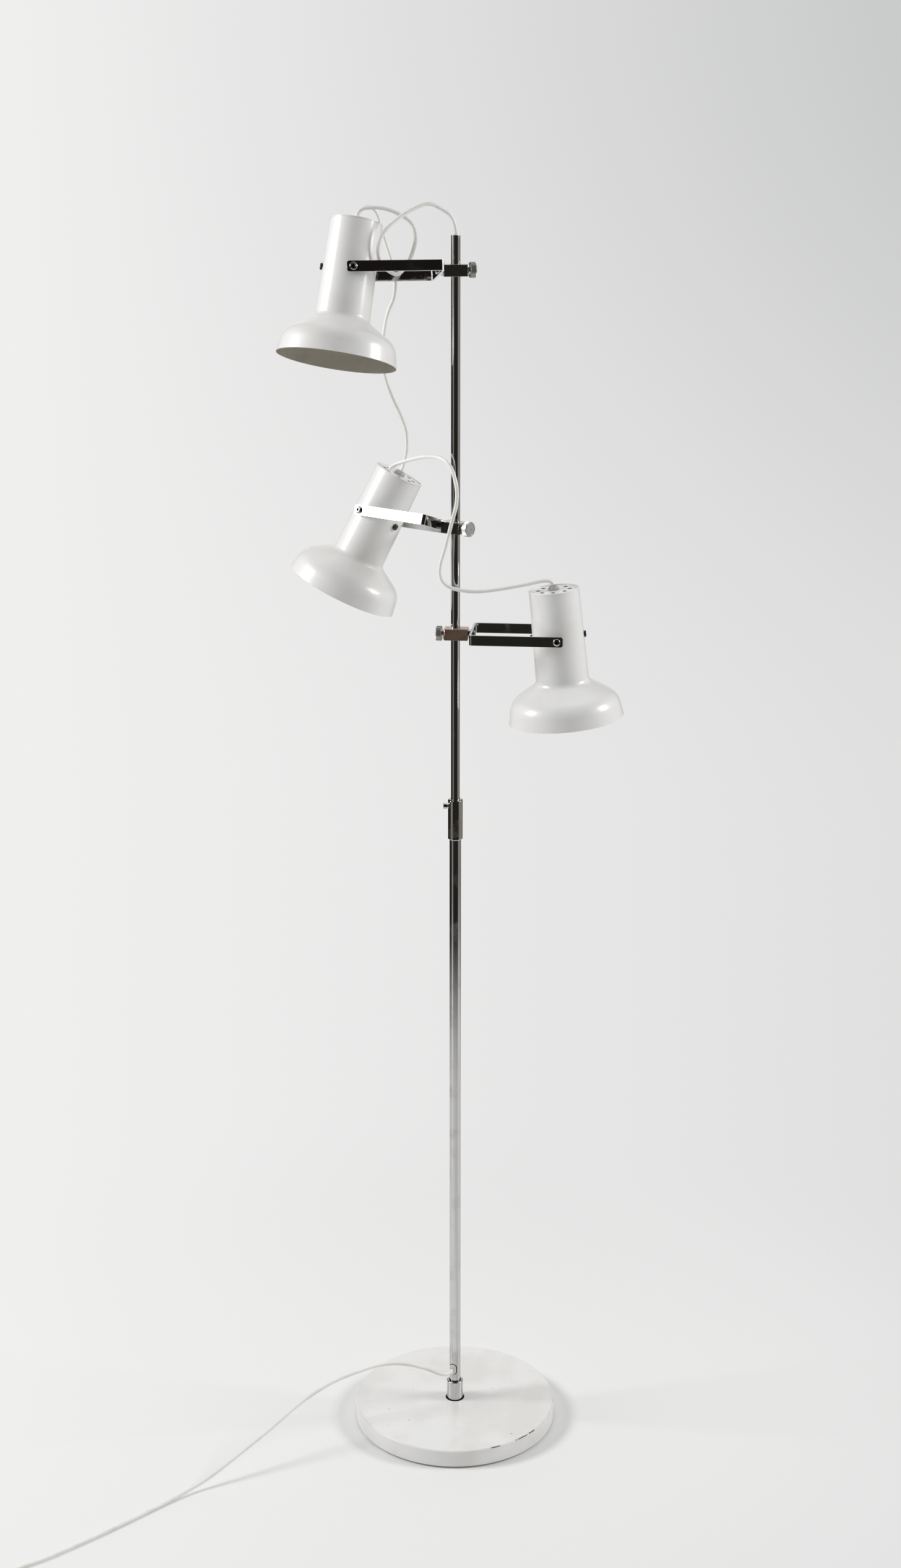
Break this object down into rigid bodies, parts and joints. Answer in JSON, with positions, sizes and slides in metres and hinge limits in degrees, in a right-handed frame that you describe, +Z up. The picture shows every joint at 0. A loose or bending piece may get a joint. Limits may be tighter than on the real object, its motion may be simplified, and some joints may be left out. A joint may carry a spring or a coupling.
{
  "type": "floor lamp with spot heads",
  "caption": "Floor lamp: round disc base, telescoping chrome pole, and white spun spot heads that tilt in U-shaped forks held by sliding, swivelling knob clamps.",
  "frame": {"origin": "the pole's axis where the felt meets the floor", "axes": "+Z up along the pole, +X to the picture's right, +Y away from the camera"},
  "size_m": [0.8525, 0.7139, 1.7364],
  "materials": {
    "white_paint": "smooth gloss paint",
    "chrome": "polished",
    "steel": "plain turned steel",
    "nylon": "smooth",
    "black_plastic": "moulded",
    "grey_plastic": "moulded",
    "cord_white": "smooth round cord",
    "felt": "felt"
  },
  "bodies": {
    "stand": {"base_felt": "felt", "base_plate": "white_paint", "foot_washer": "steel", "foot_nut": "steel", "foot_ferrule": "chrome", "lower_tube": "chrome", "cord_inlet": "nylon", "pole_sleeve": "chrome", "mains_cord": "cord_white", "mains_coil": "cord_white", "mains_plug": "cord_white"},
    "lock_screw": {"sleeve_screw": "chrome"},
    "guide": {"guide_bush": "nylon"},
    "upper_pole": {"upper_tube": "chrome", "top_bush": "grey_plastic", "head_cable_1": "cord_white"},
    "slider_1": {"liner_1": "nylon"},
    "clamp_1": {"block_1": "chrome", "roll_washer_1": "chrome", "fork_screw_1": "chrome"},
    "hand_knob_1": {"knob_1": "chrome"},
    "fork_arm_1": {"fork_1": "chrome"},
    "head_1": {"shade_1": "white_paint", "cap_1": "white_paint", "gland_1": "grey_plastic", "lampholder_1": "black_plastic", "neck_ring_1": "steel", "pivot_screws_1": "chrome", "pivot_spacers_1": "nylon", "side_screws_1": "steel", "head_cable_2": "cord_white"},
    "slider_2": {"liner_2": "nylon"},
    "clamp_2": {"block_2": "chrome", "roll_washer_2": "chrome", "fork_screw_2": "chrome"},
    "hand_knob_2": {"knob_2": "chrome"},
    "fork_arm_2": {"fork_2": "chrome"},
    "head_2": {"shade_2": "white_paint", "cap_2": "white_paint", "gland_2": "grey_plastic", "lampholder_2": "black_plastic", "neck_ring_2": "steel", "pivot_screws_2": "chrome", "pivot_spacers_2": "nylon", "side_screws_2": "steel", "head_cable_3": "cord_white"},
    "slider_3": {"liner_3": "nylon"},
    "clamp_3": {"block_3": "chrome", "roll_washer_3": "chrome", "fork_screw_3": "chrome"},
    "hand_knob_3": {"knob_3": "chrome"},
    "fork_arm_3": {"fork_3": "chrome"},
    "head_3": {"shade_3": "white_paint", "cap_3": "white_paint", "gland_3": "grey_plastic", "lampholder_3": "black_plastic", "neck_ring_3": "steel", "pivot_screws_3": "chrome", "pivot_spacers_3": "nylon", "side_screws_3": "steel"}
  },
  "joints": [
    {"name": "pole_slide", "type": "slide", "parent": "stand", "child": "guide", "axis": [0, 0, 1], "range_m": [-0.14, 0.06]},
    {"name": "pole_swivel", "type": "hinge", "parent": "guide", "child": "upper_pole", "pos_m": [0, 0, 1.2], "axis": [0, 0, 1], "range_deg": [-180, 180]},
    {"name": "sleeve_screw_turn", "type": "hinge", "parent": "stand", "child": "lock_screw", "pos_m": [-0.012, 0, 0.9375], "axis": [-1, 0, 0], "range_deg": [0, 360]},
    {"name": "clamp_1_slide", "type": "slide", "parent": "upper_pole", "child": "slider_1", "axis": [0, 0, 1], "range_m": [-0.12, 0.03], "deforming": ["head_cable_1", "head_cable_2"]},
    {"name": "clamp_1_swivel", "type": "hinge", "parent": "slider_1", "child": "clamp_1", "pos_m": [0, 0, 1.6515], "axis": [0, 0, 1], "range_deg": [-90, 90], "deforming": ["head_cable_1", "head_cable_2"]},
    {"name": "knob_1_turn", "type": "hinge", "parent": "clamp_1", "child": "hand_knob_1", "pos_m": [0, 0, 1.6515], "axis": [0.9836, 0.1805, 0], "range_deg": [0, 360]},
    {"name": "fork_1_roll", "type": "hinge", "parent": "clamp_1", "child": "fork_arm_1", "pos_m": [0, 0, 1.6515], "axis": [-0.9836, -0.1805, 0], "range_deg": [-103.3, 76.7], "deforming": ["head_cable_1", "head_cable_2"]},
    {"name": "head_1_tilt", "type": "hinge", "parent": "fork_arm_1", "child": "head_1", "pos_m": [-0.13475, -0.02473, 1.6515], "axis": [0.1757, -0.9572, 0.23], "range_deg": [-79.1, 40.9], "deforming": ["head_cable_1", "head_cable_2"]},
    {"name": "clamp_2_slide", "type": "slide", "parent": "upper_pole", "child": "slider_2", "axis": [0, 0, 1], "range_m": [-0.1, 0.12], "deforming": ["head_cable_2", "head_cable_3"]},
    {"name": "clamp_2_swivel", "type": "hinge", "parent": "slider_2", "child": "clamp_2", "pos_m": [0, 0, 1.3207], "axis": [0, 0, 1], "range_deg": [-90, 90], "deforming": ["head_cable_2", "head_cable_3"]},
    {"name": "knob_2_turn", "type": "hinge", "parent": "clamp_2", "child": "hand_knob_2", "pos_m": [0, 0, 1.3207], "axis": [0.757, -0.6534, 0], "range_deg": [0, 360]},
    {"name": "fork_2_roll", "type": "hinge", "parent": "clamp_2", "child": "fork_arm_2", "pos_m": [0, 0, 1.3207], "axis": [-0.757, 0.6534, 0], "range_deg": [-108.5, 71.5], "deforming": ["head_cable_2", "head_cable_3"]},
    {"name": "head_2_tilt", "type": "hinge", "parent": "fork_arm_2", "child": "head_2", "pos_m": [-0.10371, 0.08952, 1.3207], "axis": [-0.6197, -0.7179, 0.3173], "range_deg": [-70.5, 49.5], "deforming": ["head_cable_2", "head_cable_3"]},
    {"name": "clamp_3_slide", "type": "slide", "parent": "upper_pole", "child": "slider_3", "axis": [0, 0, 1], "range_m": [-0.08, 0.1], "deforming": ["head_cable_3"]},
    {"name": "clamp_3_swivel", "type": "hinge", "parent": "slider_3", "child": "clamp_3", "pos_m": [0, 0, 1.1778], "axis": [0, 0, 1], "range_deg": [-90, 90], "deforming": ["head_cable_3"]},
    {"name": "knob_3_turn", "type": "hinge", "parent": "clamp_3", "child": "hand_knob_3", "pos_m": [0, 0, 1.1778], "axis": [-0.9954, 0.0958, 0], "range_deg": [0, 360]},
    {"name": "fork_3_roll", "type": "hinge", "parent": "clamp_3", "child": "fork_arm_3", "pos_m": [0, 0, 1.1778], "axis": [0.9954, -0.0958, 0], "range_deg": [-90, 90], "deforming": ["head_cable_3"]},
    {"name": "head_3_tilt", "type": "hinge", "parent": "fork_arm_3", "child": "head_3", "pos_m": [0.13637, -0.01313, 1.1778], "axis": [0.0958, 0.9954, 0], "range_deg": [-84, 36], "deforming": ["head_cable_3"]}
  ]
}
